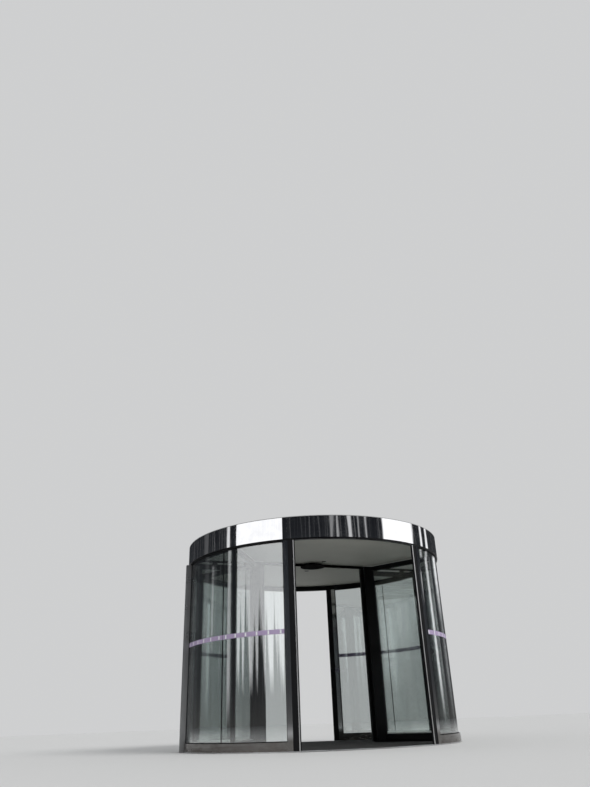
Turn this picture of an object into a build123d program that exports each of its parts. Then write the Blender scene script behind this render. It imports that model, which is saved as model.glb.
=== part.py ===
"""Two-wing revolving door: a round glazed drum, a turning rotor with two display cases, two sliding leaves."""

import os
from math import cos, degrees, radians, sin

from build123d import *

os.makedirs("parts", exist_ok=True)

# Drum, millimetres, z = 0 at the ground under the floor ring, origin on the drum's axis
drum_radius = 1800.0
wall_depth = 50.0
post_height = 2277.0
sill_height = 12.0
base_rail_top = 100.0
floor_ring_width = 60.0
mat_thickness = 10.0
mat_gap = 1.0

# Doorways, half angles seen from the axis
doorway_half_angle = 26.4
jamb_angle = 2.5
mirror_post_angle = 1.95
jamb_setback = 5.0
jamb_depth = 25.0

# Drum glazing
wall_glass_thickness = 12.0
wall_glass_setback = 24.0
glass_joint_angle = 59.0
glass_joint_width = 8.0

# Side posts at the drum's two sides
side_post_width = 50.0
side_post_reach = 50.0

# Canopy
trim_height = 20.0
trim_lip_width = 16.0
trim_setback = 5.0
ceiling_recess = 53.0
ceiling_thickness = 15.0
ceiling_edge_gap = 4.0
fascia_height = 267.0
fascia_thickness = 32.0
fascia_joint_width = 2.0
roof_thickness = 8.0
roof_setback = 2.0

# Rotor
rotor_rest_angle = 2.5
rotor_gap = 15.0
rotor_top_gap = 8.0
rotor_floor_clearance = 8.0
wing_half_angle = 34.0
wing_inner_end = 913.0
wing_inner_half_width = 89.0
pocket_half_width = 30.0
inner_post_width = 126.0
plinth_top = 100.0
board_thickness = 18.0
board_inset = 34.0
top_panel_thickness = 8.0
top_rail_height = 62.0
rail_depth = 45.0
curved_rail_depth = 20.0
corner_post_angle = 2.0
case_glass_thickness = 10.0
case_glass_setback = 18.0
outer_glass_thickness = 12.0
outer_glass_setback = 4.0
outer_glass_panels = 3
outer_glass_joint = 6.0
brush_length = 9.0
brush_thickness = 12.0

# Drive
hub_radius = 180.0
hub_thickness = 8.0
shaft_radius = 60.0
shaft_hole_gap = 6.0
bearing_gap = 0.3
bearing_radius = 130.0
bearing_height = 80.0
collar_radius = 100.0
collar_height = 20.0

# Leaf track and sliding leaves
track_height = 24.0
track_end_gap = 2.0
groove_depth = 8.0
hanger_thickness = 12.0
hanger_side_gap = 0.5
hanger_length = 70.0
hanger_inset = 240.0
leaf_top_gap = 32.0
leaf_park_edge = 757.0
leaf_end_gap = 7.0
leaf_thickness = 40.0
leaf_stile_width = 50.0
leaf_top_rail = 60.0
leaf_bottom_rail = 80.0
leaf_glass_thickness = 8.0

# Levels and radii that follow
wall_inner_radius = drum_radius - wall_depth
mat_radius = drum_radius - floor_ring_width - mat_gap
trim_top = post_height + trim_height
ceiling_level = trim_top + ceiling_recess
fascia_top = trim_top + fascia_height
lip_radius = wall_inner_radius + trim_lip_width
jamb_outer_radius = drum_radius - jamb_setback
rotor_radius = wall_inner_radius - rotor_gap
rotor_top = ceiling_level - rotor_top_gap
rotor_bottom = sill_height + rotor_floor_clearance
top_panel_underside = rotor_top - top_panel_thickness
case_glass_top = top_panel_underside - top_rail_height
track_underside = rotor_top - track_height
jamb_end_angle = doorway_half_angle + jamb_angle
post_end_angle = jamb_end_angle + mirror_post_angle
side_post_face = drum_radius + side_post_reach
glass_outer_radius = drum_radius - wall_glass_setback
glass_inner_radius = glass_outer_radius - wall_glass_thickness
outer_glass_radius = rotor_radius - outer_glass_setback
outer_glass_inner_radius = outer_glass_radius - outer_glass_thickness
inner_post_face = wing_inner_end - inner_post_width
leaf_top = track_underside - leaf_top_gap
pocket_end_radius = rotor_radius - curved_rail_depth
leaf_length = pocket_end_radius - leaf_end_gap - leaf_park_edge

FRONT = -90.0
REAR = 90.0
QUARTERS = {
    "front_left": (FRONT, -1),
    "front_right": (FRONT, 1),
    "rear_right": (REAR, -1),
    "rear_left": (REAR, 1),
}
rotor_plane = Plane.XY.rotated((0, 0, rotor_rest_angle))
WINGS = {"right": rotor_plane, "left": Plane.XY.rotated((0, 0, rotor_rest_angle + 180))}


def on_circle(radius, angle):
    """Point at a radius and an angle in degrees from +X."""
    return (radius * cos(radians(angle)), radius * sin(radians(angle)))


def ring_sector(inner, outer, start, end, mode=Mode.ADD):
    """Face between two radii and two angles, drawn in the sketch in use."""
    with BuildLine() as outline:
        far = CenterArc((0, 0), outer, start, end - start)
        near = CenterArc((0, 0), inner, start, end - start)
        Line(far @ 0, near @ 0)
        Line(far @ 1, near @ 1)
    make_face(outline.edges(), mode=mode)


def arc_between(doorway, side, start, end):
    """Angles from +X, low one first, of an arc between two angles off a doorway's middle."""
    return sorted((doorway + side * start, doorway + side * end))


def keep(piece, name):
    """Name a finished piece and write it to its file."""
    piece.part.label = name
    export_step(piece.part, f"parts/{name}.step")


# Floor ring with a short tab under each side post
with BuildPart() as floor_ring:
    with BuildSketch():
        Circle(drum_radius)
        Rectangle(2 * side_post_face, side_post_width)
        Circle(drum_radius - floor_ring_width, mode=Mode.SUBTRACT)
    extrude(amount=sill_height)
keep(floor_ring, "floor_ring")

# Entrance mat that fills the ring
with BuildPart() as floor_mat:
    with BuildSketch():
        Circle(mat_radius)
    extrude(amount=mat_thickness)
keep(floor_mat, "floor_mat")

# Base rails, wall glass and mirror posts, one of each in every quarter of the drum
for quarter, (doorway, side) in QUARTERS.items():
    with BuildPart() as base_rail:
        with BuildSketch(Plane.XY.offset(sill_height)):
            ring_sector(wall_inner_radius, drum_radius, *arc_between(doorway, side, post_end_angle, 90))
            Rectangle(2 * side_post_face, side_post_width, mode=Mode.SUBTRACT)
        extrude(amount=base_rail_top - sill_height)
    keep(base_rail, f"base_rail_{quarter}")

    with BuildPart() as wall_glass:
        with BuildSketch(Plane.XY.offset(base_rail_top)):
            angles = arc_between(doorway, side, post_end_angle, 90)
            ring_sector(glass_inner_radius, glass_outer_radius, *angles)
            Rectangle(2 * side_post_face, side_post_width, mode=Mode.SUBTRACT)
            with Locations(Rotation(0, 0, doorway + side * glass_joint_angle)):
                with Locations((drum_radius, 0)):
                    Rectangle(drum_radius, glass_joint_width, mode=Mode.SUBTRACT)
        extrude(amount=post_height - base_rail_top)
    keep(wall_glass, f"wall_glass_{quarter}")

    with BuildPart() as mirror_post:
        with BuildSketch(Plane.XY.offset(sill_height)):
            angles = arc_between(doorway, side, jamb_end_angle, post_end_angle)
            ring_sector(wall_inner_radius, drum_radius, *angles)
        extrude(amount=post_height - sill_height)
    keep(mirror_post, f"mirror_post_{quarter}")

# Black sealing strips in the glass joints
with BuildPart() as glass_joints:
    with BuildSketch(Plane.XY.offset(base_rail_top)):
        for doorway, side in QUARTERS.values():
            with Locations(Rotation(0, 0, doorway + side * glass_joint_angle)):
                with Locations((drum_radius, 0)):
                    Rectangle(drum_radius, glass_joint_width)
        Circle(glass_outer_radius, mode=Mode.INTERSECT)
        Circle(glass_inner_radius, mode=Mode.SUBTRACT)
    extrude(amount=post_height - base_rail_top)
keep(glass_joints, "glass_joints")

# Black jambs with soft edges, a pair at each doorway
for name, doorway in (("front", FRONT), ("rear", REAR)):
    with BuildPart() as jambs:
        with BuildSketch(Plane.XY.offset(sill_height)):
            for side in (-1, 1):
                angles = arc_between(doorway, side, doorway_half_angle, jamb_end_angle)
                ring_sector(jamb_outer_radius - jamb_depth, jamb_outer_radius, *angles)
        extrude(amount=post_height - sill_height)
    keep(jambs, f"jambs_{name}")

# Side posts between the front and rear quarters, with flat outer faces
with BuildPart() as side_posts:
    with BuildSketch(Plane.XY.offset(sill_height)):
        Rectangle(2 * side_post_face, side_post_width)
        Circle(wall_inner_radius, mode=Mode.SUBTRACT)
    extrude(amount=post_height - sill_height)
keep(side_posts, "side_posts")

# Black trim ring under the canopy, with a lip that carries the ceiling
with BuildPart() as soffit_trim:
    with BuildSketch(Plane.XY.offset(post_height)):
        Circle(drum_radius - trim_setback)
        Circle(wall_inner_radius, mode=Mode.SUBTRACT)
    extrude(amount=trim_height)
    with BuildSketch(Plane.XY.offset(trim_top)):
        Circle(lip_radius)
        Circle(wall_inner_radius, mode=Mode.SUBTRACT)
    extrude(amount=ceiling_recess)
keep(soffit_trim, "soffit_trim")

# Fascia in two half rings that meet over the side posts, each of three sheets with joints over
# the mirror posts
for name, doorway in (("front", FRONT), ("rear", REAR)):
    with BuildPart() as fascia:
        with BuildSketch(Plane.XY.offset(trim_top)):
            ring_sector(drum_radius - fascia_thickness, drum_radius, doorway - 90, doorway + 90)
            for side in (-1, 1):
                with Locations(Rotation(0, 0, doorway + side * post_end_angle)):
                    with Locations((drum_radius, 0)):
                        Rectangle(drum_radius, fascia_joint_width, mode=Mode.SUBTRACT)
        extrude(amount=fascia_height)
    keep(fascia, f"fascia_{name}")

# Ceiling disc with the hole for the drive shaft
with BuildPart() as ceiling:
    with BuildSketch(Plane.XY.offset(ceiling_level)):
        Circle(drum_radius - fascia_thickness - ceiling_edge_gap)
        Circle(shaft_radius + shaft_hole_gap, mode=Mode.SUBTRACT)
    extrude(amount=ceiling_thickness)
keep(ceiling, "ceiling")

# Roof cover on the fascia's upper edge
with BuildPart() as roof_cover:
    with BuildSketch(Plane.XY.offset(fascia_top)):
        Circle(drum_radius - roof_setback)
    extrude(amount=roof_thickness)
keep(roof_cover, "roof_cover")

# Bearing on the ceiling that carries the rotor by its collar
bearing_base = ceiling_level + ceiling_thickness
with BuildPart() as bearing_housing:
    with BuildSketch(Plane.XY.offset(bearing_base)):
        Circle(bearing_radius)
        Circle(shaft_radius + bearing_gap, mode=Mode.SUBTRACT)
    extrude(amount=bearing_height)
keep(bearing_housing, "bearing_housing")

# Drive hub: the disc under the leaf track, its shaft and the collar over the bearing
hub_underside = track_underside - hub_thickness
collar_underside = bearing_base + bearing_height + bearing_gap
with BuildPart() as drive_hub:
    with BuildSketch(Plane.XY.offset(hub_underside)):
        Circle(hub_radius)
    extrude(amount=hub_thickness)
    with BuildSketch(Plane.XY.offset(track_underside)):
        Circle(shaft_radius)
    extrude(amount=collar_underside - track_underside)
    with BuildSketch(Plane.XY.offset(collar_underside)):
        Circle(collar_radius)
    extrude(amount=collar_height)
keep(drive_hub, "drive_hub")

# Leaf track, a length on each side of the shaft, grooved below for the leaf hangers
track_half_length = pocket_end_radius - track_end_gap
with BuildPart() as leaf_track:
    with BuildSketch(rotor_plane.offset(track_underside)):
        Rectangle(2 * track_half_length, 2 * pocket_half_width)
    extrude(amount=track_height)
    with BuildSketch(rotor_plane.offset(track_underside)):
        Rectangle(2 * track_half_length, hanger_thickness + 2 * hanger_side_gap)
    extrude(amount=groove_depth, mode=Mode.SUBTRACT)
    with BuildSketch(Plane.XY.offset(track_underside)):
        Circle(shaft_radius)
    extrude(amount=track_height, mode=Mode.SUBTRACT)
    with BuildSketch(rotor_plane.offset(top_panel_underside)):
        with Locations((inner_post_face + rotor_radius, 0), (-inner_post_face - rotor_radius, 0)):
            Rectangle(2 * rotor_radius, 2 * pocket_half_width)
    extrude(amount=top_panel_thickness, mode=Mode.SUBTRACT)
keep(leaf_track, "leaf_track")

# Outlines of a display case, in the wing's own plane with +X outwards
corner = on_circle(rotor_radius, wing_half_angle)
with BuildSketch() as wing_outline:
    with BuildLine():
        CenterArc((0, 0), rotor_radius, -wing_half_angle, 2 * wing_half_angle)
        Polyline(
            (corner[0], -corner[1]),
            (wing_inner_end, -wing_inner_half_width),
            (wing_inner_end, wing_inner_half_width),
            corner,
        )
    make_face()

case_front_half_angle = wing_half_angle - corner_post_angle
with BuildSketch() as rail_band:
    add(wing_outline.sketch)
    offset(wing_outline.sketch, amount=-rail_depth, kind=Kind.INTERSECTION, mode=Mode.SUBTRACT)
    ring_sector(
        rotor_radius - 2 * rail_depth,
        rotor_radius,
        -case_front_half_angle,
        case_front_half_angle,
        mode=Mode.SUBTRACT,
    )
    Circle(pocket_end_radius, mode=Mode.INTERSECT)
    with Locations((wing_inner_end, 0)):
        Rectangle(2 * rail_depth, 2 * wing_inner_half_width, mode=Mode.SUBTRACT)

with BuildSketch() as corner_posts_outline:
    for side in (-1, 1):
        ring_sector(
            rotor_radius - rail_depth,
            rotor_radius,
            *sorted((side * case_front_half_angle, side * wing_half_angle)),
        )
    add(wing_outline.sketch, mode=Mode.INTERSECT)

with BuildSketch() as case_glass_outline:
    offset(wing_outline.sketch, amount=-case_glass_setback, kind=Kind.INTERSECTION)
    offset(
        wing_outline.sketch,
        amount=-case_glass_setback - case_glass_thickness,
        kind=Kind.INTERSECTION,
        mode=Mode.SUBTRACT,
    )
    Circle(rotor_radius - rail_depth, mode=Mode.INTERSECT)
    add(corner_posts_outline.sketch, mode=Mode.SUBTRACT)
    with Locations((wing_inner_end, 0)):
        Rectangle(
            2 * (case_glass_setback + case_glass_thickness), 2 * wing_inner_half_width, mode=Mode.SUBTRACT
        )

outer_glass_step = 2 * case_front_half_angle / outer_glass_panels

for name, plane in WINGS.items():
    # Inner posts on both sides of the leaf's pocket
    with BuildPart() as inner_posts:
        with BuildSketch(plane.offset(rotor_bottom)):
            with Locations((wing_inner_end - inner_post_width / 2, 0)):
                Rectangle(inner_post_width, 2 * wing_inner_half_width)
                Rectangle(inner_post_width, 2 * pocket_half_width, mode=Mode.SUBTRACT)
        extrude(amount=top_panel_underside - rotor_bottom)
    keep(inner_posts, f"inner_posts_{name}")

    # Plinth in two halves, with the leaf's pocket between them
    with BuildPart() as plinth:
        with BuildSketch(plane.offset(rotor_bottom)):
            add(wing_outline.sketch)
            Rectangle(2 * drum_radius, 2 * pocket_half_width, mode=Mode.SUBTRACT)
        extrude(amount=plinth_top - rotor_bottom)
    keep(plinth, f"plinth_{name}")

    # Display boards on the plinth
    with BuildPart() as display_boards:
        with BuildSketch(plane.offset(plinth_top)):
            offset(wing_outline.sketch, amount=-board_inset, kind=Kind.INTERSECTION)
            add(corner_posts_outline.sketch, mode=Mode.SUBTRACT)
            Rectangle(2 * drum_radius, 2 * pocket_half_width, mode=Mode.SUBTRACT)
        extrude(amount=board_thickness)
    keep(display_boards, f"display_boards_{name}")

    # Corner posts at the ends of the case's curved front
    with BuildPart() as corner_posts:
        with BuildSketch(plane.offset(plinth_top)):
            add(corner_posts_outline.sketch)
        extrude(amount=case_glass_top - plinth_top)
    keep(corner_posts, f"corner_posts_{name}")

    # Flat side glass, one pane to each chamber
    with BuildPart() as side_glass:
        with BuildSketch(plane.offset(plinth_top)):
            add(case_glass_outline.sketch)
        extrude(amount=case_glass_top - plinth_top)
    keep(side_glass, f"side_glass_{name}")

    # Curved outer glass in panels with open joints
    with BuildPart() as outer_glass:
        with BuildSketch(plane.offset(plinth_top)):
            ring_sector(
                outer_glass_inner_radius,
                outer_glass_radius,
                -case_front_half_angle,
                case_front_half_angle,
            )
            for joint in range(1, outer_glass_panels):
                with Locations(Rotation(0, 0, joint * outer_glass_step - case_front_half_angle)):
                    with Locations((rotor_radius, 0)):
                        Rectangle(rotor_radius, outer_glass_joint, mode=Mode.SUBTRACT)
        extrude(amount=case_glass_top - plinth_top)
    keep(outer_glass, f"outer_glass_{name}")

    # Top rails along the flat sides
    with BuildPart() as side_rails:
        with BuildSketch(plane.offset(case_glass_top)):
            add(rail_band.sketch)
        extrude(amount=top_rail_height)
    keep(side_rails, f"side_rails_{name}")

    # Curved top rail
    with BuildPart() as curved_rail:
        with BuildSketch(plane.offset(case_glass_top)):
            add(wing_outline.sketch)
            Circle(pocket_end_radius, mode=Mode.SUBTRACT)
        extrude(amount=top_rail_height)
    keep(curved_rail, f"curved_rail_{name}")

    # Top panel over the case, its rails, posts and the track's end
    with BuildPart() as top_panel:
        with BuildSketch(plane.offset(top_panel_underside)):
            add(wing_outline.sketch)
            with Locations((wing_inner_end - inner_post_width / 2, 0)):
                Rectangle(inner_post_width, 2 * wing_inner_half_width)
        extrude(amount=top_panel_thickness)
    keep(top_panel, f"top_panel_{name}")

# Brush seals up the outer edge of each corner post
brush_angle = degrees(brush_thickness / rotor_radius)
with BuildPart() as rotor_brushes:
    for plane in WINGS.values():
        with BuildSketch(plane.offset(plinth_top)):
            for side in (-1, 1):
                ring_sector(
                    rotor_radius,
                    rotor_radius + brush_length,
                    *sorted((side * (wing_half_angle - brush_angle), side * wing_half_angle)),
                )
        extrude(amount=case_glass_top - plinth_top)
keep(rotor_brushes, "rotor_brushes")

# Sliding leaves, stored open in their pockets, hung from the track
leaf_middle = leaf_park_edge + leaf_length / 2
leaf_height = leaf_top - rotor_bottom
window_height = leaf_height - leaf_top_rail - leaf_bottom_rail
window_length = leaf_length - 2 * leaf_stile_width
hanger_spacing = leaf_length - 2 * hanger_inset
hanger_top = track_underside + groove_depth - hanger_side_gap
for name, plane in WINGS.items():
    with BuildPart() as leaf_frame:
        with BuildSketch(plane.offset(rotor_bottom)):
            with Locations((leaf_middle, 0)):
                Rectangle(leaf_length, leaf_thickness)
        extrude(amount=leaf_height)
        with BuildSketch(plane.offset(rotor_bottom + leaf_bottom_rail)):
            with Locations((leaf_middle, 0)):
                Rectangle(window_length, leaf_thickness)
        extrude(amount=window_height, mode=Mode.SUBTRACT)
        with BuildSketch(plane.offset(leaf_top)):
            with Locations((leaf_middle - hanger_spacing / 2, 0), (leaf_middle + hanger_spacing / 2, 0)):
                Rectangle(hanger_length, hanger_thickness)
        extrude(amount=hanger_top - leaf_top)
    keep(leaf_frame, f"leaf_frame_{name}")

    with BuildPart() as leaf_glass:
        with BuildSketch(plane.offset(rotor_bottom + leaf_bottom_rail)):
            with Locations((leaf_middle, 0)):
                Rectangle(window_length, leaf_glass_thickness)
        extrude(amount=window_height)
    keep(leaf_glass, f"leaf_glass_{name}")
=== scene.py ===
import math

import bmesh
import bpy
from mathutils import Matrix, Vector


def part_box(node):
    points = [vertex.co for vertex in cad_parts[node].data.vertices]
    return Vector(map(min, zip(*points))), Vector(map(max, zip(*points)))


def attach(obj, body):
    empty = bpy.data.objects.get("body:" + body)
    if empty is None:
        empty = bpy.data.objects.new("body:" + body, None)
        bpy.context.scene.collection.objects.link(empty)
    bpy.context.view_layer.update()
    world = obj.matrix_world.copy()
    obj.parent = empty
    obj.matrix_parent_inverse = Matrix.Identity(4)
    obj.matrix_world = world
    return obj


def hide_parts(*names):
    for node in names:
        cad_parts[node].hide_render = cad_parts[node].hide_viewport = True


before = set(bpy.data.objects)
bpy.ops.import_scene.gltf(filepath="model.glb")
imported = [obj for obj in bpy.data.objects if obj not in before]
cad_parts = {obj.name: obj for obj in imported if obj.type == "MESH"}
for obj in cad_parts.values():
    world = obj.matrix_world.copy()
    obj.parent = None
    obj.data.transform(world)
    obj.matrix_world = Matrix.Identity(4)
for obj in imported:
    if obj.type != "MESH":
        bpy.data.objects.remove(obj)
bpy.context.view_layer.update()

# Camera at the viewing angle of the photograph: near the ground, left of the doorway, looking up.
# Its place and lens were worked out from the rings of the drum and its upright edges.
camera_data = bpy.data.cameras.new("camera")
camera_data.sensor_width = 36.0
camera_data.lens = 29.755
camera = bpy.data.objects.new("camera", camera_data)
camera.location = (-3.2212, -9.1264, 0.2949)
camera.rotation_euler = [math.radians(angle) for angle in (116.7716, 1.9631, -17.4804)]
bpy.context.scene.collection.objects.link(camera)
bpy.context.scene.camera = camera
bpy.context.scene.view_settings.view_transform = "Standard"
bpy.context.scene.cycles.transparent_max_bounces = 40
bpy.context.scene.cycles.max_bounces = 10


# Studio: a plain pale floor, soft light from all round and one broad soft lamp from the front right.
# What polished steel and glass mirror is darker: a dim room with three broad bright screens and thin
# strips between them, and a floor that darkens far off, so that the round shapes read.
class Wire:
    """A socket of a node tree. Arithmetic on wires adds its Math nodes."""

    def __init__(self, graph, socket):
        self.graph = graph
        self.socket = socket

    def __add__(self, other):
        return self.graph.math("ADD", self, other)

    def __sub__(self, other):
        return self.graph.math("SUBTRACT", self, other)

    def __rsub__(self, other):
        return self.graph.math("SUBTRACT", other, self)

    def __mul__(self, other):
        return self.graph.math("MULTIPLY", self, other)

    def __truediv__(self, other):
        return self.graph.math("DIVIDE", self, other)

    def __pow__(self, other):
        return self.graph.math("POWER", self, other)

    __radd__ = __add__
    __rmul__ = __mul__


class Graph:
    """A node tree being built, of a finish, of a shape or of the studio's light."""

    def __init__(self, tree):
        self.tree = tree

    def node(self, kind, sockets=None, out=0, stops=None, **settings):
        """Add a node: its settings, then the values or wires of its sockets. Gives one output."""
        made = self.tree.nodes.new(kind)
        for key, value in settings.items():
            setattr(made, key, value)
        for index, (position, colour) in enumerate(stops or ()):
            ramp = made.color_ramp.elements
            stop = ramp[index] if index < 2 else ramp.new(position)
            stop.position = position
            stop.color = (*colour, 1.0)
        for key, value in (sockets or {}).items():
            if isinstance(value, Wire):
                value = [value]
            if isinstance(value, list):
                for wire in value:
                    self.tree.links.new(wire.socket, made.inputs[key])
            else:
                made.inputs[key].default_value = value
        return Wire(self, made.outputs[out]) if made.outputs else None

    def math(self, operation, first, second=0.0):
        """One step of arithmetic."""
        return self.node("ShaderNodeMath", {0: first, 1: second}, operation=operation)

    def parts(self, vector):
        """The three values of a vector."""
        split = self.node("ShaderNodeSeparateXYZ", {0: vector}).socket.node
        return [Wire(self, split.outputs[axis]) for axis in "XYZ"]

    def spread(self, value, start, end, low=0.0, high=1.0, **settings):
        """A value that is low up to the start, and high from the end on."""
        return self.node("ShaderNodeMapRange", {0: value, 1: start, 2: end, 3: low, 4: high}, **settings)

    def tone(self, value, first, second):
        """A colour between two, by a value from 0 to 1. Each colour is a wire or three numbers."""
        ends = [end if isinstance(end, Wire) else (*end, 1.0) for end in (first, second)]
        return self.node("ShaderNodeMix", {0: value, 6: ends[0], 7: ends[1]}, out=2, data_type="RGBA")


floor_half = 60.0
floor_mesh = bpy.data.meshes.new("studio_floor")
floor_corners = [(x * floor_half, y * floor_half, 0) for x, y in ((-1, -1), (1, -1), (1, 1), (-1, 1))]
floor_mesh.from_pydata(floor_corners, [], [(0, 1, 2, 3)])
studio_floor = bpy.data.objects.new("studio_floor", floor_mesh)
bpy.context.scene.collection.objects.link(studio_floor)
floor_paint = bpy.data.materials.new("studio_floor")
floor_paint.use_nodes = True
floor_paint.node_tree.nodes.clear()
ground = Graph(floor_paint.node_tree)
east, north, _ = ground.parts(ground.node("ShaderNodeTexCoord", out="Object"))
distance = (east * east + north * north) ** 0.5
halfway_distance = 8.0
far_off = ground.spread(distance / (distance + halfway_distance), 0.45, 0.86)
seen_in_mirrors = ground.node("ShaderNodeLightPath", out="Is Glossy Ray")
floor_tone = ground.tone(far_off * seen_in_mirrors, (0.62, 0.62, 0.61), (0.12, 0.12, 0.122))
floor_shader = {"Base Color": floor_tone, "Roughness": 0.9, "Specular IOR Level": 0.1}
ground.node("ShaderNodeOutputMaterial", {0: ground.node("ShaderNodeBsdfPrincipled", floor_shader)})
floor_mesh.materials.append(floor_paint)

world = bpy.data.worlds.new("studio")
bpy.context.scene.world = world
world.use_nodes = True
world.node_tree.nodes.clear()
sky = Graph(world.node_tree)
east, north, height = sky.parts(sky.node("ShaderNodeTexCoord", out="Generated"))
bearing = sky.math("ARCTAN2", north, east) * (180 / math.pi)
fine_noise = {"W": bearing, "Scale": 0.8, "Detail": 4.0}
fine_noise = sky.node("ShaderNodeTexNoise", fine_noise, noise_dimensions="1D")
faint_streaks = sky.spread(fine_noise, 0.56, 0.80, 0.0, 0.16)
ragged_noise = {"W": bearing, "Scale": 0.22, "Detail": 8.0, "Roughness": 0.65}
ragged_noise = sky.node("ShaderNodeTexNoise", ragged_noise, noise_dimensions="1D")
screen_foot = sky.spread(ragged_noise, 0.42, 0.68, 0.055, 0.185)
above_screen_foot = sky.spread(height - screen_foot, -0.022, 0.016)
above_horizon = sky.spread(height, -0.005, 0.05)
high_up = sky.spread(height, 0.206, 0.211)
low_down = above_horizon * (1.0 - high_up)
fading_down = sky.spread(height, 0.12, 0.185, 0.15, 1.0)
off_the_ground = sky.spread(height, 0.085, 0.115)
short_stretch = sky.spread(height, 0.145, 0.175) * sky.spread(height, 0.187, 0.190, 1.0, 0.0)
# The stretch of height of each bright screen and strip, its middle, half width and soft edge in
# degrees of bearing, and its strength
screens = (
    (above_screen_foot, -158.7, 22.4, 1.0, 0.93),
    (above_screen_foot, -24.8, 17.6, 1.2, 1.0),
    (above_screen_foot, 70.0, 14.0, 4.0, 0.8),
    (above_horizon, -91.0, 0.8, 0.6, 0.20),
    (above_horizon, -86.0, 0.8, 0.6, 0.28),
    (above_horizon, -75.5, 1.6, 0.8, 0.45),
    (above_horizon, -67.0, 0.9, 0.7, 0.22),
    (above_horizon, -59.5, 1.0, 0.7, 0.30),
    (high_up, 6.8, 1.2, 0.8, 0.8),
    (high_up, 17.5, 1.8, 1.0, 0.75),
    (short_stretch, 0.3, 1.0, 0.7, 0.65),
    (low_down, 15.3, 1.9, 0.8, 1.0),
    (low_down, 23.8, 1.8, 1.5, 0.12),
    (low_down * fading_down, 39.5, 4.5, 2.0, 0.8),
    (low_down * off_the_ground, 149.2, 1.2, 1.0, 0.28),
    (above_horizon, 139.5, 2.6, 2.0, 0.06),
    (above_horizon, 171.0, 1.5, 0.8, 0.6),
)
screen_light = 0.0
for stretch, middle, half_width, soft_edge, strength in screens:
    away = sky.math("ABSOLUTE", bearing - middle)
    start, end = half_width + soft_edge, half_width - soft_edge * 0.5
    glow = sky.spread(away, start, end, 0.0, strength, interpolation_type="SMOOTHSTEP")
    screen_light = glow * stretch + screen_light
dim_room = sky.node(
    "ShaderNodeValToRGB",
    {0: height * 0.5 + 0.5},
    stops=[
        (0.0, (0.10, 0.10, 0.10)),
        (0.50, (0.10, 0.10, 0.10)),
        (0.508, (0.08, 0.08, 0.082)),
        (0.522, (0.050, 0.052, 0.056)),
        (0.58, (0.034, 0.037, 0.042)),
        (0.65, (0.009, 0.010, 0.013)),
        (1.0, (0.55, 0.56, 0.58)),
    ],
)
mirrored = sky.tone(faint_streaks * above_horizon + screen_light, dim_room, (1.50, 1.51, 1.54))
ambient = sky.node("ShaderNodeBackground", {"Color": (0.80, 0.81, 0.83, 1), "Strength": 0.8})
mirror_light = sky.node("ShaderNodeBackground", {"Color": mirrored, "Strength": 1.0})
backdrop = sky.node("ShaderNodeBackground", {"Color": (0.62, 0.625, 0.63, 1), "Strength": 1.0})
seen_in_mirrors = sky.node("ShaderNodeLightPath", out="Is Glossy Ray")
lit = sky.node("ShaderNodeMixShader", {0: seen_in_mirrors, 1: ambient, 2: mirror_light})
seen_by_camera = sky.node("ShaderNodeLightPath", out="Is Camera Ray")
seen = sky.node("ShaderNodeMixShader", {0: seen_by_camera, 1: lit, 2: backdrop})
sky.node("ShaderNodeOutputWorld", {0: seen})
lamp_data = bpy.data.lights.new("lamp", "SUN")
lamp_data.energy = 1.5
lamp_data.angle = math.radians(30)
lamp = bpy.data.objects.new("lamp", lamp_data)
lamp.rotation_euler = (math.radians(48), 0, math.radians(30))
bpy.context.scene.collection.objects.link(lamp)

# Floor ring: a flat satin stainless bar, rolled to a circle and bolted to the floor. It carries the
# drum's posts and rails. The ground finish of the bar runs along its length.
drum_radius = 1.8


class Finish(Graph):
    """A material being built. Its wire place reads the piece's own coordinates, in metres."""

    def __init__(self, name):
        self.material = bpy.data.materials.new(name)
        self.material.use_nodes = True
        self.material.node_tree.nodes.clear()
        super().__init__(self.material.node_tree)
        self.place = self.node("ShaderNodeTexCoord", out="Object")

    def round_about(self, along, out, up):
        """Coordinates that run round the drum's axis, out from it and up it, each scaled."""
        x, y, z = self.parts(self.place)
        turn = self.math("ARCTAN2", y, x) * (drum_radius * along)
        radius = (x * x + y * y) ** 0.5
        return self.node("ShaderNodeCombineXYZ", {0: turn, 1: radius * out, 2: z * up})

    def stretched(self, x, y, z):
        """The piece's coordinates, with each axis scaled."""
        return self.node("ShaderNodeMapping", {"Vector": self.place, "Scale": (x, y, z)})

    def noise(self, where, scale, detail):
        """Cloudy values from 0 to 1."""
        return self.node("ShaderNodeTexNoise", {"Vector": where, "Scale": scale, "Detail": detail})

    def between(self, cloud, low, high):
        """A cloudy value spread between two numbers."""
        return self.spread(cloud, 0.3, 0.7, low, high)

    def bump(self, height, strength, distance):
        """A normal that follows a height."""
        return self.node("ShaderNodeBump", {"Height": height, "Strength": strength, "Distance": distance})

    def close(self, **sockets):
        """End the material in one Principled shader with these sockets, words joined by underscores."""
        named = {key.replace("_", " "): value for key, value in sockets.items()}
        self.node("ShaderNodeOutputMaterial", {0: self.node("ShaderNodeBsdfPrincipled", named)})
        return self.material


def dress(material, *names):
    """Give CAD nodes a finish."""
    for name in names:
        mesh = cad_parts[name].data
        mesh.materials.clear()
        mesh.materials.append(material)


satin = Finish("satin_steel")
grain = satin.noise(satin.round_about(1.5, 220, 220), 4.0, 3.0)
wear = satin.noise(satin.place, 2.5, 5.0)
satin_steel = satin.close(
    Base_Color=satin.tone(grain, (0.40, 0.405, 0.41), (0.60, 0.60, 0.605)),
    Metallic=1.0,
    Roughness=satin.between(wear, 0.25, 0.42),
    Normal=satin.bump(grain, 0.25, 0.001),
)
dress(satin_steel, "floor_ring")


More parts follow.
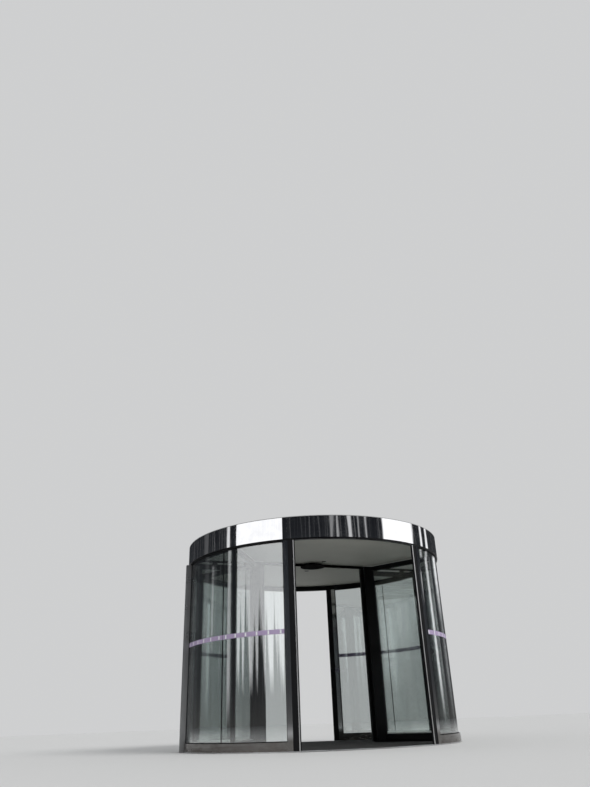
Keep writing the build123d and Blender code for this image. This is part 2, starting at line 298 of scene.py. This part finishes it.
# Entrance mat: ribbed matting of coarse black fibre, cut round and laid in the ring. Its low ribs run
# across the way in, and each is cut off at the mat's edge.
class Shape(Graph):
    """A piece grown by Geometry Nodes. Its sizes are the tree's named inputs, set on the modifier."""

    def __init__(self, name, **sizes):
        super().__init__(bpy.data.node_groups.new(name, "GeometryNodeTree"))
        self.name = name
        self.sizes = {}
        for label, value in sizes.items():
            kind = "NodeSocketInt" if isinstance(value, int) else "NodeSocketFloat"
            socket = self.tree.interface.new_socket(label, in_out="INPUT", socket_type=kind)
            self.sizes[socket.identifier] = value
        self.tree.interface.new_socket("piece", in_out="OUTPUT", socket_type="NodeSocketGeometry")
        self.given = self.node("NodeGroupInput").socket.node.outputs

    def size(self, label):
        """One of the named sizes."""
        return Wire(self, self.given[label])

    def vector(self, x=0.0, y=0.0, z=0.0):
        """Three values as one."""
        return self.node("ShaderNodeCombineXYZ", {0: x, 1: y, 2: z})

    def joined(self, shapes):
        """Several shapes as one."""
        return self.node("GeometryNodeJoinGeometry", {0: list(shapes)})

    def moved(self, shape, **sockets):
        """A shape moved by its Translation, turned by its Rotation or sized by its Scale."""
        return self.node("GeometryNodeTransform", {"Geometry": shape, **sockets})

    def bar(self, width, height):
        """The section of a flat bar."""
        return self.node("GeometryNodeCurvePrimitiveQuadrilateral", {"Width": width, "Height": height})

    def eased(self, section, radius, steps):
        """A section with its corners rounded."""
        rounding = {"Curve": section, "Count": steps, "Radius": radius}
        return self.node("GeometryNodeFilletCurve", rounding, mode="POLY")

    def line(self, start, end):
        """A straight path."""
        return self.node("GeometryNodeCurvePrimitiveLine", {"Start": start, "End": end})

    def arc(self, radius, start, sweep, steps, closed=False):
        """A round path, or a section closed at its centre, over a sweep of degrees from a start."""
        angles = {"Start Angle": math.radians(start), "Sweep Angle": math.radians(sweep)}
        given = {"Resolution": steps, "Radius": radius, "Connect Center": closed, **angles}
        return self.node("GeometryNodeCurveArc", given, mode="RADIUS")

    def swept(self, path, section):
        """A solid drawn along a path, with its ends closed."""
        drawn = {"Curve": path, "Profile Curve": section, "Fill Caps": True}
        return self.node("GeometryNodeCurveToMesh", drawn)

    def copied(self, points, shape, **sockets):
        """A shape set on each point."""
        given = {"Points": points, "Instance": shape, **sockets}
        return self.node("GeometryNodeInstanceOnPoints", given)

    def grow(self, shape, material, body, slot):
        """Turn the shape into a plain mesh in this finish, which rides on a body."""
        solid = self.node("GeometryNodeRealizeInstances", {0: shape})
        solid = self.node("GeometryNodeSetMaterial", {"Geometry": solid, "Material": material})
        self.node("NodeGroupOutput", {0: solid})
        stem = bpy.data.objects.new(self.name + "_stem", bpy.data.meshes.new(self.name + "_stem"))
        bpy.context.scene.collection.objects.link(stem)
        modifier = stem.modifiers.new(self.name, "NODES")
        modifier.node_group = self.tree
        for identifier, value in self.sizes.items():
            modifier[identifier] = value
        evaluated = stem.evaluated_get(bpy.context.evaluated_depsgraph_get())
        mesh = bpy.data.meshes.new_from_object(evaluated)
        bpy.data.objects.remove(stem)
        return lay(self.name, mesh, material, body)


def lay(name, mesh, material, body):
    """Put a mesh in the scene as a piece that rides on a body, with its faces turned outwards."""
    mesh.materials.clear()
    mesh.materials.append(material)
    shell = bmesh.new()
    shell.from_mesh(mesh)
    bmesh.ops.recalc_face_normals(shell, faces=shell.faces)
    shell.to_mesh(mesh)
    shell.free()
    mesh.shade_smooth()
    mesh.set_sharp_from_angle(angle=math.radians(35))
    piece = bpy.data.objects.new(name, mesh)
    bpy.context.scene.collection.objects.link(piece)
    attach(piece, body)
    return piece


mat = Finish("mat_fibre")
fibre = mat.noise(mat.place, 900.0, 2.0)
tread = mat.noise(mat.place, 2.5, 4.0)
mat_fibre = mat.close(
    Base_Color=mat.tone(tread, (0.012, 0.012, 0.013), (0.034, 0.033, 0.031)),
    Roughness=0.95,
    Normal=mat.bump(fibre, 0.5, 0.002),
)
dress(mat_fibre, "floor_mat")
mat_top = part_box("floor_mat")[1][2]
ribs = Shape("mat_ribs", radius=1.733, pitch=0.020, width=0.011, height=0.0016, count=172)
rib_place = (ribs.node("GeometryNodeInputIndex") + 0.5) * ribs.size("pitch")
rib_place = rib_place - ribs.size("count") * ribs.size("pitch") * 0.5
row = ribs.node("GeometryNodePoints", {"Count": ribs.size("count")})
row = {"Geometry": row, "Position": ribs.vector(y=rib_place, z=mat_top)}
row = ribs.node("GeometryNodeSetPosition", row)
half_chord = (ribs.size("radius") ** 2 - rib_place**2) ** 0.5
dome = ribs.arc(1.0, 180, 180, 7, closed=True)
dome = ribs.moved(dome, Scale=ribs.vector(ribs.size("width") * 0.5, ribs.size("height"), 1.0))
rib = ribs.swept(ribs.line((-1, 0, 0), (1, 0, 0)), dome)
laid_ribs = ribs.copied(row, rib, Scale=ribs.vector(half_chord, 1.0, 1.0))
ribs.grow(laid_ribs, mat_fibre, "drum", "mat")

# Base rails: folded stainless sheet round the foot of the wall glass, screwed to the floor ring.
# Their polish is painted dark brown, a painted reflection of shaded paving, with splashes of dirt on it.
quarters = ("front_left", "front_right", "rear_right", "rear_left")
rail = Finish("splashed_steel")
splashes = rail.noise(rail.round_about(1, 1, 2.5), 9.0, 5.0)
drips = rail.noise(rail.round_about(0.6, 1, 14), 4.0, 3.0)
near_floor = rail.spread(rail.parts(rail.place)[2], 0.10, 0.02, 0.0, 0.45)
# Splashes of dirt mixed with painted shade, darker towards the floor.
dirt_and_painted_shade = rail.between(splashes * 0.6 + drips * 0.4, 0, 1) * 0.7 + near_floor
splashed_steel = rail.close(
    # The dark brown tones are a painted reflection of shaded paving, not the steel's own colour.
    Base_Color=rail.tone(dirt_and_painted_shade, (0.25, 0.245, 0.24), (0.125, 0.112, 0.102)),
    Metallic=0.85,
    Roughness=dirt_and_painted_shade * 0.22 + 0.10,
    Normal=rail.bump(splashes, 0.1, 0.002),
)
dress(splashed_steel, *(f"base_rail_{quarter}" for quarter in quarters))

# Mirror posts: polished stainless sheet, folded round the posts beside both doorways. Large thin
# sheets are never quite flat, and hands leave faint smears. Their foot is a painted reflection of shade.
steel = Finish("mirror_steel")
smears = steel.noise(steel.round_about(1, 1, 0.35), 5.0, 4.0)
waves = steel.noise(steel.round_about(1, 1, 0.25), 1.6, 1.0)
# Painted reflection of shaded paving: the posts turn dark brown and duller below about 0.2 m.
painted_shade_at_foot = steel.spread(steel.parts(steel.place)[2] + smears * 0.05, 0.21, 0.13, 0.0, 0.85)
clean_steel = steel.tone(steel.between(smears, 0, 1), (0.66, 0.665, 0.675), (0.72, 0.725, 0.73))
mirror_steel = steel.close(
    Base_Color=steel.tone(painted_shade_at_foot, clean_steel, (0.13, 0.12, 0.11)),
    Metallic=1.0,
    Roughness=steel.between(smears, 0.035, 0.085) + painted_shade_at_foot * 0.12,
    Normal=steel.bump(waves, 0.35, 0.01),
)
dress(mirror_steel, *(f"mirror_post_{quarter}" for quarter in quarters))


# Wall glass: curved laminated panes with a faint grey-green tint, two to each quarter of the drum.
# Strips of black rubber hold them on both faces, at the foot, at the head and beside the posts.
def pane_of(name, tint, roughness, least_shine):
    """Clear glass, which tints what shows through it and mirrors most where it is seen aslant."""
    glass = Finish(name)
    aslant = glass.node("ShaderNodeLayerWeight", {"Blend": 0.5}, out="Facing") ** 5
    through = glass.node("ShaderNodeBsdfTransparent", {"Color": (*tint, 1)})
    shine = glass.node("ShaderNodeBsdfGlossy", {"Color": (1, 1, 1, 1), "Roughness": roughness})
    amount = aslant * (1 - least_shine) + least_shine
    pane = glass.node("ShaderNodeMixShader", {0: amount, 1: through, 2: shine})
    glass.node("ShaderNodeOutputMaterial", {0: pane})
    return glass.material


wall_glass = pane_of("wall_glass", (0.865, 0.89, 0.885), 0.012, 0.18)
dress(wall_glass, *(f"wall_glass_{quarter}" for quarter in quarters))

rubber = Finish("door_rubber")
dust = rubber.noise(rubber.place, 30.0, 4.0)
black_rubber = rubber.close(
    Base_Color=rubber.tone(dust, (0.004, 0.004, 0.005), (0.010, 0.010, 0.011)),
    Roughness=rubber.between(dust, 0.5, 0.65),
    Specular_IOR_Level=0.12,
    Normal=rubber.bump(dust, 0.1, 0.001),
)
glass_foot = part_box("wall_glass_front_left")[0][2]
glass_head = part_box("wall_glass_front_left")[1][2]
post_angle = 30.85
side_angle = 0.83
strip_end_angle = 0.16
quarter_starts = (side_angle, 90 + post_angle, 180 + side_angle, 270 + post_angle)
quarter_sweep = 90 - post_angle - side_angle
gaskets = Shape("wall_gaskets", inner=1.7605, outer=1.7795, width=0.0065, depth=0.009)
strip_section = gaskets.bar(gaskets.size("width"), gaskets.size("depth"))
strips = []
for radius in (gaskets.size("inner"), gaskets.size("outer")):
    edge_strip = gaskets.swept(gaskets.line((0, 0, glass_foot), (0, 0, glass_head)), strip_section)
    edge_strip = gaskets.moved(edge_strip, Translation=gaskets.vector(radius))
    for start in quarter_starts:
        strip = gaskets.swept(gaskets.arc(radius, start, quarter_sweep, 48), strip_section)
        for level, side in ((glass_foot, 0.5), (glass_head, -0.5)):
            lift = gaskets.vector(z=gaskets.size("depth") * side + level)
            strips.append(gaskets.moved(strip, Translation=lift))
        for angle in (start + strip_end_angle, start + quarter_sweep - strip_end_angle):
            strips.append(gaskets.moved(edge_strip, Rotation=(0, 0, math.radians(angle))))
gaskets.grow(gaskets.joined(strips), black_rubber, "drum", "black_rubber")

# Glass joints: the upright gaps between two panes of wall glass, one in each quarter of the drum.
# They are filled flush with black sealant, from the base rail to the soffit.
dress(black_rubber, "glass_joints")

# Safety band: a strip of pale mauve film stuck round the wall glass, a little above the waist, so
# that the clear panes are noticed. Small white bars are printed along it.
film = Finish("band_film")
fading = film.noise(film.place, 8.0, 3.0)
band_film = film.close(
    Base_Color=film.tone(fading, (0.43, 0.345, 0.52), (0.51, 0.415, 0.60)),
    Roughness=0.5,
    Specular_IOR_Level=0.15,
    Alpha=film.between(fading, 0.80, 0.90),
)
ink = Finish("band_white")
speckle = ink.noise(ink.place, 60.0, 3.0)
white_ink = ink.tone(speckle, (0.74, 0.74, 0.76), (0.86, 0.86, 0.87))
band_white = ink.close(Base_Color=white_ink, Roughness=0.5)
band_level = 1.232
joint_angle = 59.0
joint_half_angle = 0.14
pane_ends = (
    (side_angle, 90 - joint_angle - joint_half_angle),
    (90 - joint_angle + joint_half_angle, 90 - post_angle),
)
pane_spans = []
for half_turn in (0, 180):
    for first, last in pane_ends:
        pane_spans.append((half_turn + first, half_turn + last))
        pane_spans.append((180 + half_turn - last, 180 + half_turn - first))
bands = Shape("safety_bands", radius=1.7764, thickness=0.0005, height=0.052)
marks = Shape("band_marks", radius=1.7769, spacing=0.14, thickness=0.0004, width=0.020, height=0.042)
band_section = bands.bar(bands.size("thickness"), bands.size("height"))
mark_section = marks.bar(marks.size("thickness"), marks.size("width"))
half_mark = marks.size("height") * 0.5
mark = marks.swept(marks.line(marks.vector(z=0 - half_mark), marks.vector(z=half_mark)), mark_section)
bare_end_angle = 1.8
strips = []
printed = []
for start, end in pane_spans:
    strips.append(bands.swept(bands.arc(bands.size("radius"), start, end - start, 40), band_section))
    row = marks.arc(marks.size("radius"), start + bare_end_angle, end - start - 2 * bare_end_angle, 40)
    row = {"Curve": row, "Length": marks.size("spacing")}
    row = marks.node("GeometryNodeCurveToPoints", row, mode="LENGTH")
    east, north, _ = marks.parts(marks.node("GeometryNodeInputPosition"))
    turn = marks.vector(z=marks.math("ARCTAN2", north, east))
    printed.append(marks.copied(row, mark, Rotation=turn))
band = bands.moved(bands.joined(strips), Translation=(0, 0, band_level))
bands.grow(band, band_film, "drum", "glass")
row_of_marks = marks.moved(marks.joined(printed), Translation=(0, 0, band_level))
marks.grow(row_of_marks, band_white, "drum", "white_board")

# Jambs: matt black rubber strips, fixed up the mirror posts beside the doorways. A thin bead of
# bright steel covers their edge at the doorway, and a soft black bulb along it keeps fingers safe.
dress(black_rubber, "jambs_front", "jambs_rear")
bright = Finish("bead_steel")
bead_grain = bright.noise(bright.stretched(400, 400, 3), 1.0, 3.0)
bead_steel = bright.close(
    Base_Color=bright.tone(bead_grain, (0.62, 0.62, 0.62), (0.74, 0.74, 0.735)),
    Metallic=1.0,
    Roughness=bright.between(bead_grain, 0.22, 0.34),
)
doorway_angle = 26.4
bead_angle = doorway_angle + 0.225
jamb_foot, jamb_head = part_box("jambs_front")[0][2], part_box("jambs_front")[1][2]
upright = ((0, 0, jamb_foot), (0, 0, jamb_head))
beads = Shape("edge_beads", radius=1.7973, thickness=0.0044, width=0.012, round=0.0012)
bead_section = beads.bar(beads.size("thickness"), beads.size("width"))
bead = beads.swept(beads.line(*upright), beads.eased(bead_section, beads.size("round"), 3))
bead = beads.moved(bead, Translation=beads.vector(beads.size("radius")))
bulbs = Shape("finger_guards", radius=1.7825, bulb=0.008)
bulb = bulbs.swept(bulbs.line(*upright), bulbs.arc(bulbs.size("bulb"), 180, 180, 12, closed=True))
bulb = bulbs.moved(bulb, Translation=bulbs.vector(bulbs.size("radius")))
strips = []
guards = []
for doorway in (-90, 90):
    for side in (-1, 1):
        turn = (0, 0, math.radians(doorway + side * bead_angle))
        strips.append(beads.moved(bead, Rotation=turn))
        turn = (0, 0, math.radians(doorway + side * doorway_angle))
        guards.append(bulbs.moved(bulb, Rotation=turn, Scale=(1, side, 1)))
beads.grow(beads.joined(strips), bead_steel, "drum", "polished_steel")
bulbs.grow(bulbs.joined(guards), black_rubber, "drum", "black_rubber")

# Side posts: square tubes of satin stainless steel, brushed along their length, one on each side of
# the drum. They stand on tabs of the floor ring, and the front and rear panes end against them.
upright_satin = Finish("upright_satin")
brushing = upright_satin.noise(upright_satin.stretched(300, 300, 2), 1.0, 4.0)
smudge = upright_satin.noise(upright_satin.place, 4.0, 4.0)
upright_steel = upright_satin.close(
    Base_Color=upright_satin.tone(brushing, (0.30, 0.305, 0.31), (0.46, 0.46, 0.465)),
    Metallic=1.0,
    Roughness=upright_satin.between(smudge, 0.24, 0.38),
)
dress(upright_steel, "side_posts")

# Soffit trim: a rolled steel ring under the canopy, coated black. It lies on the heads of the posts
# and the wall glass, and its upright lip carries the ceiling.
coat = Finish("black_coating")
peel = coat.noise(coat.place, 160.0, 2.0)
handling = coat.noise(coat.place, 6.0, 5.0)
black_coating = coat.close(
    Base_Color=coat.tone(handling, (0.002, 0.002, 0.0025), (0.006, 0.006, 0.0065)),
    Roughness=coat.between(handling, 0.28, 0.42),
    Specular_IOR_Level=0.14,
    Normal=coat.bump(peel, 0.06, 0.001),
)
dress(black_coating, "soffit_trim")

# Fascia: mirror polished stainless sheet round the canopy, in two half rings of three sheets each.
# The sheet is thin and fixed to the frame behind, so what it mirrors is drawn out and ripples.
fascia = Finish("fascia_steel")
film_marks = fascia.noise(fascia.round_about(1, 1, 1), 9.0, 5.0)
ripple = fascia.noise(fascia.round_about(3, 1, 0.5), 1.3, 2.0)
fascia_steel = fascia.close(
    Base_Color=fascia.tone(fascia.between(film_marks, 0, 1), (0.66, 0.66, 0.665), (0.74, 0.74, 0.74)),
    Metallic=1.0,
    Roughness=fascia.between(film_marks, 0.03, 0.07),
    Normal=fascia.bump(ripple, 0.3, 0.012),
)
dress(fascia_steel, "fascia_front", "fascia_rear")

# Ceiling: a painted steel disc in the canopy, which lies on the lip of the soffit trim. Two small
# black caps cover its service holes near the hub.
paint = Finish("ceiling_coat")
mottle = paint.noise(paint.place, 3.0, 4.0)
orange_peel = paint.noise(paint.place, 220.0, 2.0)
ceiling_paint = paint.close(
    Base_Color=paint.tone(mottle, (0.385, 0.385, 0.348), (0.46, 0.457, 0.415)),
    Roughness=0.6,
    Specular_IOR_Level=0.3,
    Normal=paint.bump(orange_peel, 0.08, 0.001),
)
dress(ceiling_paint, "ceiling")
ceiling_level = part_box("ceiling")[0][2]
cap_places = ((0.10, -0.21), (0.06, 0.46))
caps = Shape("ceiling_caps", radius=0.034, depth=0.0024, bevel=0.003)
cap = {
    "Vertices": 32,
    "Radius Top": caps.size("radius"),
    "Radius Bottom": caps.size("radius") - caps.size("bevel"),
    "Depth": caps.size("depth"),
}
cap = caps.node("GeometryNodeMeshCone", cap, fill_type="NGON")
fitted = []
for x, y in cap_places:
    lift = caps.vector(x, y, ceiling_level - caps.size("depth"))
    fitted.append(caps.moved(cap, Translation=lift))
caps.grow(caps.joined(fitted), black_coating, "drum", "black_paint")

# Roof cover: grey coated sheets, laid side by side over the canopy, lapped and screwed down. They are
# dusty where rain has dried on them, most of all along the laps.
cover = Finish("grey_sheet")
sheet_half = 0.6
settled = cover.noise(cover.place, 2.2, 8.0)
rings = cover.noise(cover.place, 28.0, 3.0)
from_lap = cover.math("PINGPONG", cover.parts(cover.place)[0] + sheet_half, sheet_half)
lap = cover.spread(from_lap, 0.0, 0.006, 1.0, 0.0)
beside_lap = cover.spread(from_lap, 0.0, 0.14, 0.5, 0.0)
dusty = cover.between(settled, 0, 1) * 0.45 + rings * 0.25 + beside_lap * settled
dusty_sheet = cover.tone(dusty, (0.225, 0.23, 0.235), (0.30, 0.295, 0.285))
grey_sheet = cover.close(
    Base_Color=cover.tone(lap, dusty_sheet, (0.05, 0.05, 0.05)),
    Roughness=cover.between(rings, 0.45, 0.7),
    Normal=cover.bump(rings * 0.1 - lap, 0.4, 0.002),
)
dress(grey_sheet, "roof_cover")

# Bearing housing: a machined casting, bolted to the top of the ceiling round the drive shaft. The
# rotor hangs in it by the collar of the shaft.
cast = Finish("cast_steel")
sand = cast.noise(cast.place, 120.0, 3.0)
cast_steel = cast.close(
    Base_Color=cast.tone(sand, (0.14, 0.14, 0.145), (0.22, 0.22, 0.225)),
    Metallic=0.8,
    Roughness=cast.between(sand, 0.45, 0.6),
    Normal=cast.bump(sand, 0.3, 0.001),
)
dress(cast_steel, "bearing_housing")

# Drive hub and leaf track: steel, painted matt black. The hub's turned disc closes the foot of the
# drive shaft. The track is bolted across the rotor, with a groove for the hangers of the leaves.
matt = Finish("matt_black")
soot = matt.noise(matt.place, 14.0, 4.0)
matt_black = matt.close(
    Base_Color=matt.tone(soot, (0.0012, 0.0012, 0.0013), (0.003, 0.003, 0.003)),
    Roughness=matt.between(soot, 0.7, 0.85),
    Specular_IOR_Level=0.01,
)
dress(matt_black, "drive_hub", "leaf_track")

# Wing frames: the inner posts, plinths, corner posts and top rails of the two display cases. They
# are steel sheet, folded, coated black and screwed together.
wings = ("right", "left")
for wing in wings:
    dress(black_coating, f"inner_posts_{wing}", f"plinth_{wing}", f"corner_posts_{wing}")
    dress(black_coating, f"side_rails_{wing}", f"curved_rail_{wing}")

# Top panels: coated steel sheet, one over each display case, painted paler than the ceiling as painted
# light on their shaded undersides. They lie on the top rails and the inner posts, and have greyed a
# little with dust.
panel = Finish("panel_coat")
panel_grime = panel.noise(panel.place, 5.0, 5.0)
panel_coat = panel.close(
    # Painted light: these tones are paler than the ceiling paint, to stand in for light the enclosed
    # panels miss.
    Base_Color=panel.tone(panel_grime, (0.58, 0.58, 0.55), (0.68, 0.68, 0.65)),
    Roughness=panel.between(panel_grime, 0.4, 0.55),
)
dress(panel_coat, "top_panel_right", "top_panel_left")

# Display boards: white laminated board, laid on the plinths on both sides of the leaf's pocket. Its
# edge shows as a thin white line behind the glass.
laminate = Finish("white_laminate")
scuffs = laminate.noise(laminate.place, 9.0, 5.0)
white_laminate = laminate.close(
    Base_Color=laminate.tone(scuffs, (0.74, 0.74, 0.72), (0.82, 0.82, 0.80)),
    Roughness=laminate.between(scuffs, 0.25, 0.4),
)
dress(white_laminate, "display_boards_right", "display_boards_left")

# Case glass: clear toughened panes, flat at the sides of the display cases and curved in front.
# Thin black strips hold them at the foot and the head, and a channel beside each inner post.
case_glass = pane_of("case_glass", (0.95, 0.962, 0.958), 0.01, 0.08)
for wing in wings:
    dress(case_glass, f"side_glass_{wing}", f"outer_glass_{wing}")

rest_angle = 2.5
wing_turns = [(0, 0, math.radians(rest_angle + turn)) for turn in (0, 180)]
rotor_radius = 1.735
wing_half_angle = math.radians(34)
case_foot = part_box("side_glass_right")[0][2]
case_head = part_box("side_glass_right")[1][2]
inner_end, inner_half_width = 0.913, 0.089
corner = (rotor_radius * math.cos(wing_half_angle), rotor_radius * math.sin(wing_half_angle))
side_run = (corner[0] - inner_end, corner[1] - inner_half_width)
side_length = math.hypot(*side_run)
run_x, run_y = side_run[0] / side_length, side_run[1] / side_length


def beside(side, distance, inset, level):
    """A point a distance out along a case's flat side, and inset from its edge."""
    x = inner_end + distance * run_x + inset * run_y
    y = inner_half_width + distance * run_y - inset * run_x
    return (x, side * y, level)


half_strip = 0.003
side_strip_ends = (0.018, 0.960)
side_pane_faces = (0.01525, 0.03075)
front_pane_face = 1.7162
front_strip_half_angle = 31.8
channel_x, channel_y = inner_end + 0.0128, 0.0755
cases = Shape("case_gaskets", width=0.005, depth=0.006, channel_width=0.025, channel_depth=0.026)
strip_section = cases.bar(cases.size("width"), cases.size("depth"))
channel_section = cases.bar(cases.size("channel_width"), cases.size("channel_depth"))
strips = []
for level in (case_foot + half_strip, case_head - half_strip):
    for side in (-1, 1):
        for inset in side_pane_faces:
            ends = [beside(side, distance, inset, level) for distance in side_strip_ends]
            strips.append(cases.swept(cases.line(*ends), strip_section))
    path = cases.arc(front_pane_face, -front_strip_half_angle, 2 * front_strip_half_angle, 60)
    path = cases.moved(path, Translation=(0, 0, level))
    strips.append(cases.swept(path, strip_section))
for side in (-1, 1):
    ends = [(channel_x, side * channel_y, level) for level in (case_foot, case_head)]
    strips.append(cases.swept(cases.line(*ends), channel_section))
strips = cases.joined(strips)
turned = [cases.moved(strips, Rotation=turn) for turn in wing_turns]
cases.grow(cases.joined(turned), black_rubber, "rotor", "black_rubber")

# Rotor brushes: black bristles, set close in a strip up the outer edge of each corner post. They
# close the gap between the rotor and the drum's wall.
bristle_coat = Finish("bristle_black")
tufts = bristle_coat.noise(bristle_coat.place, 260.0, 2.0)
bristle_black = bristle_coat.close(
    Base_Color=bristle_coat.tone(tufts, (0.005, 0.005, 0.005), (0.018, 0.017, 0.016)),
    Roughness=0.8,
    Specular_IOR_Level=0.2,
)
brush_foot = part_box("rotor_brushes")[0][2]
brush_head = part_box("rotor_brushes")[1][2]
brush_height = brush_head - brush_foot
brush_sizes = {"radius": rotor_radius, "length": 0.0085, "width": 0.0105, "height": brush_height}
brush = Shape("brush_strips", **brush_sizes, rows=4, tufts=880)
brush_angle = 33.8
bristle_radius = 0.0016
holder_thickness = 0.003
holder_offset = 0.0016
bare_ends = 0.004
quarter_turn = math.pi / 2
lean_about_x, lean_about_yz = 0.1, 0.12
bed = {
    "Vertices X": brush.size("rows"),
    "Vertices Y": brush.size("tufts"),
    "Size X": brush.size("width"),
    "Size Y": brush.size("height") - bare_ends,
}
bed = brush.node("GeometryNodeMeshGrid", bed)
bed_middle = brush.vector(brush.size("radius"), 0.0, (brush_foot + brush_head) / 2)
bed = brush.moved(bed, Rotation=(quarter_turn, 0, quarter_turn), Translation=bed_middle)
bristle = {
    "Vertices": 3,
    "Radius Top": 0.0,
    "Radius Bottom": bristle_radius,
    "Depth": brush.size("length"),
}
bristle = brush.node("GeometryNodeMeshCone", bristle, fill_type="NONE")
lean = {
    "Min": (-lean_about_x, quarter_turn - lean_about_yz, -lean_about_yz),
    "Max": (lean_about_x, quarter_turn + lean_about_yz, lean_about_yz),
    "Seed": 7,
}
lean = brush.node("FunctionNodeRandomValue", lean, data_type="FLOAT_VECTOR")
pile = brush.copied(bed, bristle, Rotation=lean)
holder = brush.bar(holder_thickness, brush.size("width"))
holder = brush.swept(brush.line((0, 0, brush_foot), (0, 0, brush_head)), holder)
holder = brush.moved(holder, Translation=brush.vector(brush.size("radius") + holder_offset))
strip = brush.joined((pile, holder))
strips = []
for half_turn in (0, 180):
    for side in (-1, 1):
        turn = math.radians(rest_angle + half_turn + side * brush_angle)
        strips.append(brush.moved(strip, Rotation=(0, 0, turn)))
brushes = brush.grow(brush.joined(strips), bristle_black, "rotor", "brush")
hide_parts("rotor_brushes")

# Sliding leaves: slim metal frames, coated black, round clear toughened panes. Black beads hold each
# pane on both faces, and a soft strip covers the leading edge, where the two leaves meet.
park_edge = 0.757
leaf_length = 0.951
stile_width = 0.050
top_rail_height = 0.060
half_bead = 0.0045
bead_face = 0.0087
near, far = park_edge + stile_width, park_edge + leaf_length - stile_width
for wing, turn in zip(wings, wing_turns):
    dress(black_coating, f"leaf_frame_{wing}")
    dress(case_glass, f"leaf_glass_{wing}")
    foot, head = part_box(f"leaf_glass_{wing}")[0][2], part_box(f"leaf_glass_{wing}")[1][2]
    beading = Shape(f"leaf_beads_{wing}", bead=0.009, round=0.002)
    bead_section = beading.bar(beading.size("bead"), beading.size("bead"))
    bead_section = beading.eased(bead_section, beading.size("round"), 2)
    strips = []
    for y in (-bead_face, bead_face):
        for z in (foot + half_bead, head - half_bead):
            strips.append(beading.swept(beading.line((near, y, z), (far, y, z)), bead_section))
        for x in (near + half_bead, far - half_bead):
            strips.append(beading.swept(beading.line((x, y, foot), (x, y, head)), bead_section))
    beads_turned = beading.moved(beading.joined(strips), Rotation=turn)
    beading.grow(beads_turned, black_rubber, f"leaf_{wing}", "black_rubber")

    seal = Shape(f"leaf_seal_{wing}", depth=0.0025, half_width=0.012)
    bow = seal.arc(1.0, 90, 180, 10, closed=True)
    bow = seal.moved(bow, Scale=seal.vector(seal.size("depth"), seal.size("half_width"), 1.0))
    frame_foot, frame_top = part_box(f"leaf_frame_{wing}")[0][2], head + top_rail_height
    path = seal.line((park_edge, 0, frame_foot), (park_edge, 0, frame_top))
    seal_turned = seal.moved(seal.swept(path, bow), Rotation=turn)
    seal.grow(seal_turned, black_rubber, f"leaf_{wing}", "black_rubber")
